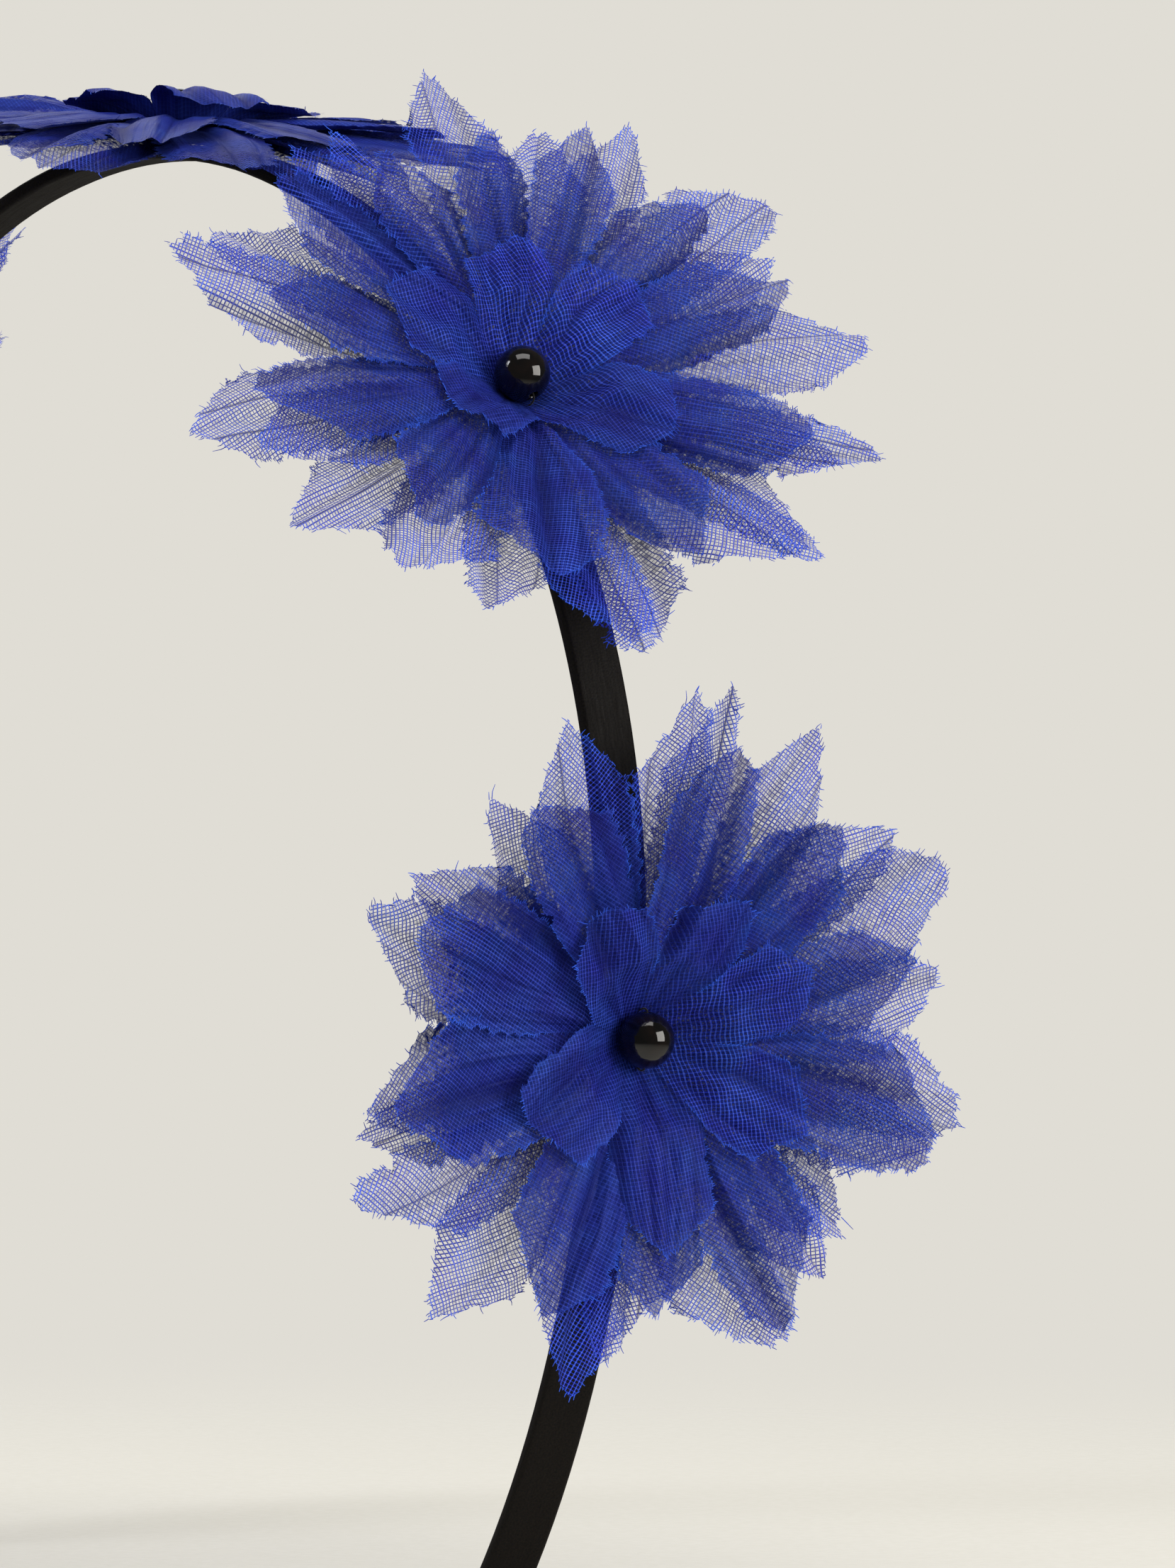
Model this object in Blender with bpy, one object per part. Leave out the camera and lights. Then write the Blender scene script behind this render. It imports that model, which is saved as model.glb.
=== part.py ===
"""Headband with five organza flowers, in metres with +Z up.

A narrow satin-covered band goes over the crown and down both sides. Five flowers are sewn
along it. Each has four discs of petals, one inside the next, round a bead on the band.
The origin is on the inner face of the band at the crown, where it rests on the head.
The band lies in the XZ plane and its face leans a little towards -Y, the front.
"""

import math
from collections import namedtuple

import bmesh
import bpy
from mathutils import Matrix, Vector

MM = 0.001

# Band: half an ellipse over the crown, then a longer one down each side
HALF_SPAN = 72.5 * MM
CROWN_RISE = 85.0 * MM
SIDE_DROP = 107.0 * MM
END_ANGLE = 133.0
BAND_WIDTH = 5.7 * MM
BAND_THICKNESS = 1.7 * MM
BAND_EDGE = 0.45 * MM
BAND_STEPS = 20
SMOOTH_BELOW = 50.0

# Rounded ends of the band: the share of the way down a side, and the share of the width
Station = namedtuple("Station", "way width")
BAND_TIP = (Station(0.986, 1.0), Station(0.996, 0.72), Station(1.0, 0.35))

# How far the face of the band leans to the front: the angle round the band, then the lean
Lean = namedtuple("Lean", "angle lean")
LEANS = (Lean(0, 0.0), Lean(12, 0.0), Lean(45, 16.5), Lean(100, 16.5), Lean(END_ANGLE, 28.0))

# Clearance between one piece and the next
GAP = 0.3 * MM

# Organza discs: petals are cut in from the edge to the hub, are widest at a share of their
# length, and have one fold up and one down. HANG_REACH is where a petal hangs its full drop
WALL = 1.0 * MM
COLUMNS = 3
HUB_SHARE = 0.165
WIDEST_SHARE = 0.7
END_NARROWING = 0.76
FOLD = 0.45 * MM
HANG_REACH = 38.0 * MM

# One row for each disc of a flower, from the back to the front, with its slope in degrees
Layer = namedtuple("Layer", "name slope")
LAYERS = (
    Layer("petals_back", 7.0),
    Layer("petals_front", 10.5),
    Layer("petals_middle", 14.0),
    Layer("petals_inner", 20.0),
)

# Outline of a petal's end: how far out each of its points stands, and how far across
Corner = namedtuple("Corner", "share across")
PETAL_END = (Corner(0.87, -1.0), Corner(1.0, -0.36), Corner(0.96, 0.36), Corner(0.85, 1.0))

# Bead
BEAD_RADIUS = 3.0 * MM
BEAD_SIDES = 10
BEAD_RINGS = 7

# Petals, one row for each: where its middle points, in degrees from the rear edge of the
# band towards the crown, its length and width in millimetres, and how far its tip leans
Petal = namedtuple("Petal", "angle length width lean")
UPPER_CHART = {
    "petals_back": (
        Petal(12, 37.0, 10.0, 0),
        Petal(61, 37.5, 11.0, -2),
        Petal(103, 36.0, 10.5, 0),
        Petal(136, 37.0, 10.8, 2),
        Petal(178, 41.0, 11.4, 2),
        Petal(205, 39.6, 9.6, -3),
        Petal(239, 35.3, 9.4, 0),
        Petal(269, 39.0, 11.6, -4),
        Petal(311, 36.0, 9.4, -1),
        Petal(335, 36.0, 8.8, -4),
    ),
    "petals_front": (
        Petal(25, 40.4, 10.8, -2),
        Petal(45, 37.8, 8.2, 1),
        Petal(79, 39.6, 11.2, 2),
        Petal(116, 35.0, 11.0, 0),
        Petal(158, 40.4, 11.4, -5),
        Petal(191, 38.3, 11.0, -1),
        Petal(225, 38.0, 12.0, -3),
        Petal(253, 39.4, 10.6, 5),
        Petal(295, 38.0, 12.4, 1),
        Petal(322, 39.4, 9.4, 4),
        Petal(351, 39.8, 12.2, -1),
    ),
    "petals_middle": (
        Petal(5, 33.0, 9.6, 0),
        Petal(30, 31.0, 8.2, 0),
        Petal(54, 33.0, 8.2, 0),
        Petal(77, 29.5, 7.8, -1),
        Petal(104, 28.5, 9.4, -3),
        Petal(131, 33.0, 10.2, -1),
        Petal(158, 30.5, 9.4, 0),
        Petal(185, 35.0, 10.6, 0),
        Petal(214, 31.0, 9.2, 1),
        Petal(243, 32.0, 12.2, 1),
        Petal(281, 30.5, 10.4, 0),
        Petal(320, 31.5, 10.4, 2),
    ),
    "petals_inner": (
        Petal(20, 17.0, 10.4, 0),
        Petal(77, 15.5, 10.6, 0),
        Petal(146, 17.5, 10.6, -2),
        Petal(204, 13.8, 11.0, 0),
        Petal(308, 17.2, 11.6, 0),
    ),
}
LOWER_CHART = {
    "petals_back": (
        Petal(7, 36.0, 10.6, 1),
        Petal(45, 36.5, 10.8, -3),
        Petal(81, 38.0, 8.8, 0),
        Petal(130, 32.5, 9.8, 0),
        Petal(166, 36.8, 11.0, -6),
        Petal(199, 36.5, 9.2, 0),
        Petal(233, 38.6, 10.8, -4),
        Petal(267, 34.2, 10.0, 0),
        Petal(314, 34.2, 10.6, -2),
        Petal(338, 36.5, 9.6, 3),
    ),
    "petals_front": (
        Petal(27, 38.5, 12.0, 3),
        Petal(64, 37.6, 10.8, -2),
        Petal(91, 37.0, 8.6, 0),
        Petal(114, 36.5, 10.6, -1),
        Petal(147, 35.6, 10.6, 4),
        Petal(188, 36.0, 10.2, 1),
        Petal(214, 40.0, 10.8, -6),
        Petal(252, 38.2, 11.4, 2),
        Petal(287, 35.2, 12.0, 4),
        Petal(319, 30.5, 10.0, 0),
        Petal(351, 37.4, 10.4, 0),
    ),
    "petals_middle": (
        Petal(17, 30.8, 9.6, 0),
        Petal(51, 30.0, 9.8, 1),
        Petal(81, 32.0, 9.4, 0),
        Petal(121, 30.8, 10.4, 2),
        Petal(153, 32.6, 10.4, 0),
        Petal(198, 33.0, 11.6, 2),
        Petal(240, 31.6, 11.6, 2),
        Petal(272, 28.6, 9.6, -2),
        Petal(300, 33.4, 10.6, 0),
        Petal(346, 34.0, 12.0, 0),
    ),
    "petals_inner": (
        Petal(25, 19.0, 9.4, 0),
        Petal(66, 17.4, 8.2, 0),
        Petal(122, 16.6, 11.0, 2),
        Petal(211, 18.6, 11.6, 0),
        Petal(274, 22.0, 11.4, -3),
        Petal(331, 19.0, 10.8, 0),
    ),
}

# Flowers, one row for each: its place in degrees round the band, how far it is sewn off the
# middle towards the rear, its chart of petals, the turn and scale of that chart, how much
# its discs cup, and how far its petals hang: all round, and more towards one angle
Flower = namedtuple("Flower", "name place offset chart turn scale cup hang sway sway_angle")
FLOWERS = (
    Flower("top", 2.4, 0.3 * MM, UPPER_CHART, -58, 0.94, 0.22, 1.6 * MM, 3.2 * MM, 212),
    Flower("right_upper", 48.9, 1.0 * MM, UPPER_CHART, 0, 1.0, 1.0, 1.2 * MM, 1.8 * MM, 92),
    Flower("right_lower", 96.2, 1.15 * MM, LOWER_CHART, 0, 1.0, 1.0, 0.4 * MM, 0.8 * MM, 0),
    Flower("left_upper", -48.9, 0.6 * MM, LOWER_CHART, 130, 0.98, 1.0, 1.2 * MM, 1.8 * MM, 92),
    Flower("left_lower", -96.2, 0.8 * MM, UPPER_CHART, 205, 0.97, 1.0, 0.4 * MM, 0.8 * MM, 180),
)

# Finish of each kind of piece: colour in linear RGB, roughness and coat
Finish = namedtuple("Finish", "colour roughness coat")
FINISHES = {
    "black_satin": Finish((0.010, 0.009, 0.009), 0.45, 0.0),
    "blue_organza": Finish((0.022, 0.045, 0.36), 0.6, 0.0),
    "black_glass": Finish((0.003, 0.003, 0.004), 0.08, 1.0),
}


def clear_scene():
    for thing in list(bpy.data.objects):
        bpy.data.objects.remove(thing, do_unlink=True)


def make_material(name):
    finish = FINISHES[name]
    material = bpy.data.materials.new(name)
    material.use_nodes = True
    shader = material.node_tree.nodes["Principled BSDF"]
    shader.inputs["Base Color"].default_value = (*finish.colour, 1.0)
    shader.inputs["Roughness"].default_value = finish.roughness
    shader.inputs["Metallic"].default_value = 0.0
    shader.inputs["Coat Weight"].default_value = finish.coat
    return material


def link_object(name, mesh, material, parent=None):
    mesh.materials.append(material)
    made = bpy.data.objects.new(name, mesh)
    bpy.context.scene.collection.objects.link(made)
    made.parent = parent
    return made


def band_lean(degrees):
    """Lean at an angle round the band, read between the rows of its table."""
    for before, after in zip(LEANS, LEANS[1:]):
        if degrees <= after.angle:
            share = (degrees - before.angle) / (after.angle - before.angle)
            return before.lean + (after.lean - before.lean) * share
    return LEANS[-1].lean


def band_frame(degrees):
    """Frame of the band at an angle round it: X to the rear, Y to the crown, Z outwards."""
    turn = math.radians(degrees)
    rise = CROWN_RISE if abs(degrees) <= 90 else SIDE_DROP
    along = Vector((HALF_SPAN * math.cos(turn), 0.0, -rise * math.sin(turn))).normalized()
    lean = math.radians(band_lean(abs(degrees)))
    square = Vector((-along.z, 0.0, along.x))
    outward = square * math.cos(lean) - Vector((0.0, 1.0, 0.0)) * math.sin(lean)
    rear = outward.cross(along)
    middle = Vector((HALF_SPAN * math.sin(turn), 0.0, rise * math.cos(turn) - CROWN_RISE))
    frame = Matrix((rear, -along, outward)).transposed().to_4x4()
    frame.translation = middle
    return frame


def crown_offset():
    """Moves the inner face of the band at the crown onto the origin."""
    return band_frame(0.0).col[2].xyz * (BAND_THICKNESS / 2)


def band_section(width):
    """Rounded rectangle of the band, in its own frame."""
    wide, deep, edge = width / 2, BAND_THICKNESS / 2, min(BAND_EDGE, width / 3)
    corners = []
    for across, out in ((1, 1), (-1, 1), (-1, -1), (1, -1)):
        pair = [
            Vector((across * wide, 0.0, out * (deep - edge))),
            Vector((across * (wide - edge), 0.0, out * deep)),
        ]
        corners += pair if across * out > 0 else pair[::-1]
    return corners


def make_band(material):
    """Sweeps the section from one end to the other by extruding its end face."""
    down = [Station(step / BAND_STEPS, 1.0) for step in range(BAND_STEPS)] + list(BAND_TIP)
    up = [Station(-station.way, station.width) for station in reversed(down[1:])]
    sections = []
    for station in up + down:
        frame = Matrix.Translation(crown_offset()) @ band_frame(station.way * END_ANGLE)
        corners = band_section(BAND_WIDTH * station.width)
        sections.append([frame @ corner for corner in corners])
    shape = bmesh.new()
    ring = bmesh.ops.create_circle(
        shape, segments=len(sections[0]), radius=BAND_WIDTH, cap_ends=True
    )["verts"]
    for corner, place in zip(ring, sections[0]):
        corner.co = place
    for section in sections[1:]:
        ring = extrude_row(shape, ring, closed=True)
        for corner, place in zip(ring, section):
            corner.co = place
    bmesh.ops.contextual_create(shape, geom=ring)
    bmesh.ops.recalc_face_normals(shape, faces=shape.faces)
    mesh = bpy.data.meshes.new("band")
    shape.to_mesh(mesh)
    shape.free()
    mesh.shade_smooth()
    mesh.set_sharp_from_angle(angle=math.radians(SMOOTH_BELOW))
    return link_object("band", mesh, material)


def extrude_row(shape, row, closed=False):
    """Extrudes the edges that join a row of vertices, and returns the new row in order."""
    pairs = list(zip(row, row[1:] + row[:1])) if closed else list(zip(row, row[1:]))
    edges = [shape.edges.get(pair) for pair in pairs]
    made = bmesh.ops.extrude_edge_only(shape, edges=edges)["geom"]
    fresh = {item for item in made if isinstance(item, bmesh.types.BMVert)}
    beyond = []
    for corner in row:
        others = [edge.other_vert(corner) for edge in corner.link_edges]
        beyond.append(next(other for other in others if other in fresh))
    return beyond


def flower_petals(flower, layer):
    """The chart's petals for one disc, turned and scaled for this flower, in angle order."""
    petals = [
        Petal(
            (petal.angle + flower.turn) % 360,
            petal.length * MM * flower.scale,
            petal.width * MM * flower.scale,
            petal.lean,
        )
        for petal in flower.chart[layer.name]
    ]
    return sorted(petals)


def disc_height(flower, layer, flat):
    """Height of the middle of a disc's cloth over the middle of the band."""
    order = LAYERS.index(layer)
    lowest = BAND_THICKNESS / 2 + GAP + WALL / 2
    radius = math.hypot(flat[0], flat[1])
    angle = math.atan2(flat[1], flat[0])
    cup = radius * math.tan(math.radians(layer.slope * flower.cup))
    sway = flower.sway * math.cos(angle - math.radians(flower.sway_angle))
    hang = (flower.hang + sway) * (radius / HANG_REACH) ** 2
    return lowest + order * (WALL + GAP) + cup - hang


def around(degrees, radius):
    turn = math.radians(degrees)
    return Vector((radius * math.cos(turn), radius * math.sin(turn)))


def petal_flat(petal, share, across, narrowing):
    """Point of a petal in the flat cut: out along its middle, then across to its edge."""
    out = around(petal.angle + petal.lean * share * share, 1.0)
    side = Vector((-out.y, out.x))
    return out * petal.length * share + side * across * narrowing * petal.width / 2


def hub_angles(petals):
    """Angles of the hub's corners, which share the circle out between the petals."""
    angles = []
    for index, petal in enumerate(petals):
        before = petals[index - 1].angle - (360 if index == 0 else 0)
        after = petals[(index + 1) % len(petals)].angle + (360 if petal is petals[-1] else 0)
        first, last = (petal.angle + before) / 2, (petal.angle + after) / 2
        angles += [first + (last - first) * step / COLUMNS for step in range(COLUMNS)]
    return angles


def make_disc(flower, layer, holder, material):
    """Extrudes a ring outwards into a hub and then each petal on its own, and thickens it."""
    petals = flower_petals(flower, layer)
    hole = BEAD_RADIUS + GAP
    hub = hole + max(petal.length for petal in petals) * HUB_SHARE
    fold = FOLD * flower.cup
    angles = hub_angles(petals)
    shape = bmesh.new()

    def put(corner, flat, lift=0.0):
        corner.co = (flat.x, flat.y, disc_height(flower, layer, flat) + lift)

    ring = bmesh.ops.create_circle(shape, segments=len(angles), radius=hole)["verts"]
    for corner, degrees in zip(ring, angles):
        put(corner, around(degrees, hole))
    ring = extrude_row(shape, ring, closed=True)
    for corner, degrees in zip(ring, angles):
        put(corner, around(degrees, hub))
    for index, petal in enumerate(petals):
        lifts = (0.0, fold, -fold, 0.0) if index % 2 else (0.0, -fold, fold, 0.0)
        first = index * COLUMNS
        row = [ring[(first + step) % len(ring)] for step in range(COLUMNS + 1)]
        row = extrude_row(shape, row)
        for step, corner in enumerate(row):
            flat = petal_flat(petal, WIDEST_SHARE, 2 * step / COLUMNS - 1, 1.0)
            put(corner, flat, lifts[step] * WIDEST_SHARE)
        row = extrude_row(shape, row)
        ends = PETAL_END
        if petal.lean > 0:
            ends = [Corner(end.share, -end.across) for end in reversed(PETAL_END)]
        for corner, end, lift in zip(row, ends, lifts):
            put(corner, petal_flat(petal, end.share, end.across, END_NARROWING), lift)
    bmesh.ops.recalc_face_normals(shape, faces=shape.faces)
    name = f"{flower.name}_{layer.name}"
    mesh = bpy.data.meshes.new(name)
    shape.to_mesh(mesh)
    shape.free()
    made = link_object(name, mesh, material, holder)
    thicken = made.modifiers.new("Cloth", "SOLIDIFY")
    thicken.thickness = WALL
    thicken.offset = 0.0
    return made


def make_bead(flower, holder, material):
    """Round bead, set on the band through the middle of the discs."""
    shape = bmesh.new()
    bmesh.ops.create_uvsphere(
        shape, u_segments=BEAD_SIDES, v_segments=BEAD_RINGS, radius=BEAD_RADIUS
    )
    mesh = bpy.data.meshes.new(f"{flower.name}_bead")
    shape.to_mesh(mesh)
    shape.free()
    mesh.shade_smooth()
    made = link_object(f"{flower.name}_bead", mesh, material, holder)
    made.location = (0.0, 0.0, BAND_THICKNESS / 2 + GAP + BEAD_RADIUS)
    return made


def make_flower(flower, materials):
    """One flower on an empty that stands on the band, its Z pointing outwards."""
    holder = bpy.data.objects.new(f"{flower.name}_flower", None)
    bpy.context.scene.collection.objects.link(holder)
    sewn = Matrix.Translation((flower.offset, 0.0, 0.0))
    holder.matrix_world = Matrix.Translation(crown_offset()) @ band_frame(flower.place) @ sewn
    for layer in LAYERS:
        make_disc(flower, layer, holder, materials["blue_organza"])
    make_bead(flower, holder, materials["black_glass"])


def main():
    clear_scene()
    materials = {name: make_material(name) for name in FINISHES}
    make_band(materials["black_satin"])
    for flower in FLOWERS:
        make_flower(flower, materials)


main()
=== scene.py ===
import math
import random

import bmesh
import bpy
from mathutils import Matrix, Vector, noise


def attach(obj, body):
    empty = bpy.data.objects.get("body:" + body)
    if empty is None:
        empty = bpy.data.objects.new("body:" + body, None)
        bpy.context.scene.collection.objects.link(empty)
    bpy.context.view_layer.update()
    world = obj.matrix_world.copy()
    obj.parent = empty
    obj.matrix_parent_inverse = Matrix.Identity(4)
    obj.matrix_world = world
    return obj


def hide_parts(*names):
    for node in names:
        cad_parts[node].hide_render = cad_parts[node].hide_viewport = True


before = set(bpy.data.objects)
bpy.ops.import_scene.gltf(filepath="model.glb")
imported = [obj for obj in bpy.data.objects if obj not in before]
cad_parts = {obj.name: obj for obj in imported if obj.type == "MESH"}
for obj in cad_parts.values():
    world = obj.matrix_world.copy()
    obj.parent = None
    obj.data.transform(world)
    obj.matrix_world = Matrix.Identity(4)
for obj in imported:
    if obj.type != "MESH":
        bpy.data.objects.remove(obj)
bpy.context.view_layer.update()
mm = 0.001
print("frame loaded:", len(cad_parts), "nodes")

# Sizes are in millimetres and angles in degrees; each piece is turned to metres at its end

band = {
    "halfSpan": 72.5,
    "crownRise": 85.0,
    "sideDrop": 107.0,
    "endAngle": 133.0,
    "width": 5.7,
    "thickness": 1.7,
    "corner": 0.5,
    "seamStep": 0.12,          # the ribbon's edge, glued down along the inner face
    "seamPlace": 0.9,
    "stations": 150,
    "tip": [(0.0, 1.0), (0.984, 1.0), (0.991, 0.94), (0.996, 0.78), (0.999, 0.5), (1.0, 0.3)],
    "leans": [(0, 0.0), (12, 0.0), (45, 16.5), (100, 16.5), (133, 28.0)],
}

cloth = {
    "layers": ["back", "front", "middle", "inner"],
    "slopes": {"back": 7.0, "front": 10.0, "middle": 12.5, "inner": 14.0},
    # what the neighbours hide of a petal's width
    "fullness": {"back": 1.06, "front": 1.08, "middle": 1.2, "inner": 1.04},
    # how much a layer's gaps are filled at its edge, and nearer the middle, where it is gathered
    "haze": {"back": 0.06, "front": 0.16, "middle": 0.52, "inner": 0.40},
    "gather": {"back": 0.70, "front": 0.74, "middle": 0.76, "inner": 0.66},
    "rim": 1.3,                # where a disc is pinched under the bead
    "hole": 3.3,
    "hubShare": 0.165,         # how much of a petal's length is uncut
    "overlap": 1.2,            # beyond the cut, where petals are pressed together
    "widest": 0.7,
    "endNarrowing": 0.83,
    "endFall": 0.16,           # a petal's end falls away from its peak by this share
    "gatheredTo": 15.0,        # the cloth is dense to here, and thins out to where it is loose
    "looseFrom": 33.0,
    "densest": 1.3,
    "lift": 1.65,
    "spacing": 1.12,
    "hangReach": 38.0,
    "front": 225.0,            # the side of a flower that looks forward, in its own angles
    "columns": 21,
    "rowSpacing": 0.46,
    "toothPitch": 1.7,         # pinking shears, worn soft by the fraying
    "toothDepth": {"back": 1.3, "front": 1.3, "middle": 1.0, "inner": 0.5},
    "weaveTurns": {"back": 21, "front": -38, "middle": 58, "inner": 12},
}

# How far folds stand out of the smooth disc
folds = {
    "pleat": 0.40,             # in the gathered middle
    "wide": 0.40,              # three sets of waves across a petal
    "middling": 0.32,
    "narrow": 0.22,
    "tilt": 0.5,               # a petal lies over its neighbour on one side
    "creaseWidth": 1.1,
    "turnedEdge": 0.5,
    "crumple": 0.15,
    "fineCrumple": 0.06,
}

# A petal: where it points, its length and width, and how far its tip leans to one side
upperChart = {
    "back": [
        (12, 37.0, 10.0, 0), (61, 37.5, 11.0, -2), (103, 36.0, 10.5, 0),
        (136, 37.0, 10.8, 2), (178, 41.0, 11.4, 2), (205, 39.6, 9.6, -3),
        (239, 35.3, 9.4, 0), (269, 39.0, 11.6, -4), (311, 36.0, 9.4, -1),
        (335, 36.0, 8.8, -4),
    ],
    "front": [
        (25, 40.4, 10.8, -2), (45, 37.8, 8.2, 1), (79, 39.6, 11.2, 2),
        (116, 35.0, 11.0, 0), (158, 40.4, 11.4, -5), (191, 38.3, 11.0, -1),
        (225, 38.0, 12.0, -3), (253, 39.4, 10.6, 5), (295, 38.0, 12.4, 1),
        (322, 39.4, 9.4, 4), (351, 39.8, 12.2, -1),
    ],
    "middle": [
        (5, 33.0, 9.6, 0), (30, 31.0, 8.2, 0), (54, 33.0, 8.2, 0),
        (77, 29.5, 7.8, -1), (104, 28.5, 9.4, -3), (131, 33.0, 10.2, -1),
        (158, 30.5, 9.4, 0), (185, 35.0, 10.6, 0), (214, 31.0, 9.2, 1),
        (243, 32.0, 12.2, 1), (281, 30.5, 10.4, 0), (320, 31.5, 10.4, 2),
    ],
    "inner": [
        (20, 17.0, 10.4, 0), (77, 15.5, 10.6, 0), (146, 17.5, 10.6, -2),
        (204, 13.8, 11.0, 0), (308, 17.2, 11.6, 0),
    ],
    # pressed folds that stand out, as shares of a petal's half width
    "creases": {
        ("front", 158): [-0.45, 0.3], ("back", 178): [-0.3, 0.42], ("back", 205): [0.1],
        ("front", 351): [0.25], ("front", 322): [-0.35, 0.4], ("back", 269): [-0.4, 0.25],
        ("front", 295): [0.05], ("front", 25): [-0.35, 0.3],
    },
    "points": {("front", 158): 0.7, ("front", 322): 1.0, ("back", 335): 0.8, ("front", 25): 0.5},
    "turnedEdges": {("front", 322): -1, ("back", 269): 1},
    "sheer": {("inner", 20): 0.45, ("inner", 77): 0.4, ("inner", 146): 0.8},
}
lowerChart = {
    "back": [
        (7, 36.0, 10.6, 1), (45, 36.5, 10.8, -3), (81, 38.0, 8.8, 0),
        (130, 32.5, 9.8, 0), (166, 36.8, 11.0, -6), (199, 36.5, 9.2, 0),
        (233, 38.6, 10.8, -4), (267, 34.2, 10.0, 0), (314, 34.2, 10.6, -2),
        (338, 36.5, 9.6, 3),
    ],
    "front": [
        (27, 38.5, 12.0, 3), (64, 37.6, 10.8, -2), (91, 37.0, 8.6, 0),
        (114, 36.5, 10.6, -1), (147, 35.6, 10.6, 4), (188, 36.0, 10.2, 1),
        (214, 40.0, 10.8, -6), (252, 38.2, 11.4, 2), (287, 35.2, 12.0, 4),
        (319, 30.5, 10.0, 0), (351, 37.4, 10.4, 0),
    ],
    "middle": [
        (17, 30.8, 9.6, 0), (51, 30.0, 9.8, 1), (81, 32.0, 9.4, 0),
        (121, 30.8, 10.4, 2), (160, 33.4, 13.6, 0), (189, 34.0, 13.6, 2),
        (240, 31.6, 11.6, 2), (272, 28.6, 9.6, -2), (300, 33.4, 10.6, 0),
        (346, 34.0, 12.0, 0),
    ],
    "inner": [
        (25, 19.0, 9.4, 0), (66, 17.4, 8.2, 0), (122, 16.6, 11.0, 2),
        (211, 18.6, 11.6, 0), (274, 22.0, 11.4, -3), (331, 19.0, 10.8, 0),
    ],
    "creases": {
        ("front", 114): [-0.35, 0.35], ("front", 91): [-0.38, 0.6], ("back", 81): [-0.55, 0.45],
        ("back", 45): [-0.62], ("front", 214): [0.05], ("front", 252): [-0.2],
    },
    "points": {("front", 214): 1.0, ("back", 45): 0.9, ("back", 233): 0.5, ("front", 252): 0.8},
    "turnedEdges": {("back", 45): -1, ("front", 64): 1},
    "sheer": {
        ("inner", 25): 0.7, ("inner", 331): 0.7, ("front", 147): 1.7, ("front", 188): 2.2,
        ("back", 166): 2.2, ("back", 199): 2.6,
    },
}

# What a flower's cloth does: it cups round the bead, hangs at its rim and sways to one side,
# waves and ruffles, and a crowded flower stands up round its bead, droops and looks denser
usual = {
    "cup": 1.0, "hang": 0.4, "sway": 0.8, "swayAngle": 0, "lively": 1.0, "ruffle": 0.5,
    "bowl": 0.0, "droop": 0.0, "packed": 1.0, "fuller": 0.0,
}
upper = {**usual, "hang": 1.2, "sway": 1.8, "swayAngle": 92}
flowers = [
    {**usual, "name": "top", "place": 2.4, "offset": 0.3, "chart": upperChart, "turn": -58, "scale": 0.94,
     "cup": 0.22, "hang": 2.3, "sway": 4.8, "swayAngle": 245, "lively": 0.7, "ruffle": 0.7,
     "bowl": 2.2, "droop": 1.2, "packed": 0.8, "fuller": 0.48},
    {**upper, "name": "right_upper", "place": 48.9, "offset": 1.0, "chart": upperChart, "turn": 0,
     "scale": 1.0},
    {**usual, "name": "right_lower", "place": 96.2, "offset": 1.15, "chart": lowerChart, "turn": 0,
     "scale": 1.0},
    {**upper, "name": "left_upper", "place": -48.9, "offset": 0.6, "chart": lowerChart, "turn": 130,
     "scale": 0.98},
    {**usual, "name": "left_lower", "place": -96.2, "offset": 0.8, "chart": upperChart, "turn": 205,
     "scale": 0.97, "swayAngle": 180},
]


def smooth(value, low, high):
    share = min(max((value - low) / (high - low), 0.0), 1.0)
    return share * share * (3 - 2 * share)


def readBetween(rows, place):
    # straight lines between the rows of a small table
    for (before, first), (after, last) in zip(rows, rows[1:]):
        if place <= after:
            return first + (last - first) * (place - before) / (after - before)
    return rows[-1][1]


def linear(code):
    # sRGB hex to linear RGBA
    parts = [int(code[place:place + 2], 16) / 255 for place in (1, 3, 5)]
    return (*[part / 12.92 if part <= 0.04045 else ((part + 0.055) / 1.055) ** 2.4 for part in parts], 1.0)


def addNode(tree, kind, inputs=None, **settings):
    # a node with its settings; an input is a value or another node's output
    node = tree.nodes.new(kind)
    for name, value in settings.items():
        setattr(node, name, value)
    for name, value in (inputs or {}).items():
        if isinstance(value, bpy.types.NodeSocket):
            tree.links.new(value, node.inputs[name])
        else:
            node.inputs[name].default_value = value
    return node


def startMaterial(name, **sockets):
    material = bpy.data.materials.new(name)
    material.use_nodes = True
    shader = material.node_tree.nodes["Principled BSDF"]
    for socket, value in sockets.items():
        shader.inputs[socket.replace("_", " ")].default_value = value
    return material, material.node_tree, shader


def bandFrame(degrees):
    # X to the rear, Y to the crown, Z out of the face of the band
    turn = math.radians(degrees)
    rise = band["crownRise"] if abs(degrees) <= 90 else band["sideDrop"]
    along = Vector((band["halfSpan"] * math.cos(turn), 0.0, -rise * math.sin(turn))).normalized()
    lean = math.radians(readBetween(band["leans"], abs(degrees)))
    outward = Vector((-along.z, 0.0, along.x)) * math.cos(lean) - Vector((0.0, math.sin(lean), 0.0))
    rear = outward.cross(along)
    place = Matrix((rear, -along, outward)).transposed().to_4x4()
    place.translation = Vector((
        band["halfSpan"] * math.sin(turn), 0.0, rise * math.cos(turn) - band["crownRise"]))
    return Matrix.Translation((0.0, 0.0, band["thickness"] / 2)) @ place


def flowerFrame(flower):
    sewn = Matrix.Translation((flower["offset"], 0.0, 0.0))
    return Matrix.Scale(mm, 4) @ bandFrame(flower["place"]) @ sewn


def addObject(name, data):
    added = bpy.data.objects.new(name, data)
    bpy.context.scene.collection.objects.link(added)
    return added


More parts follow.
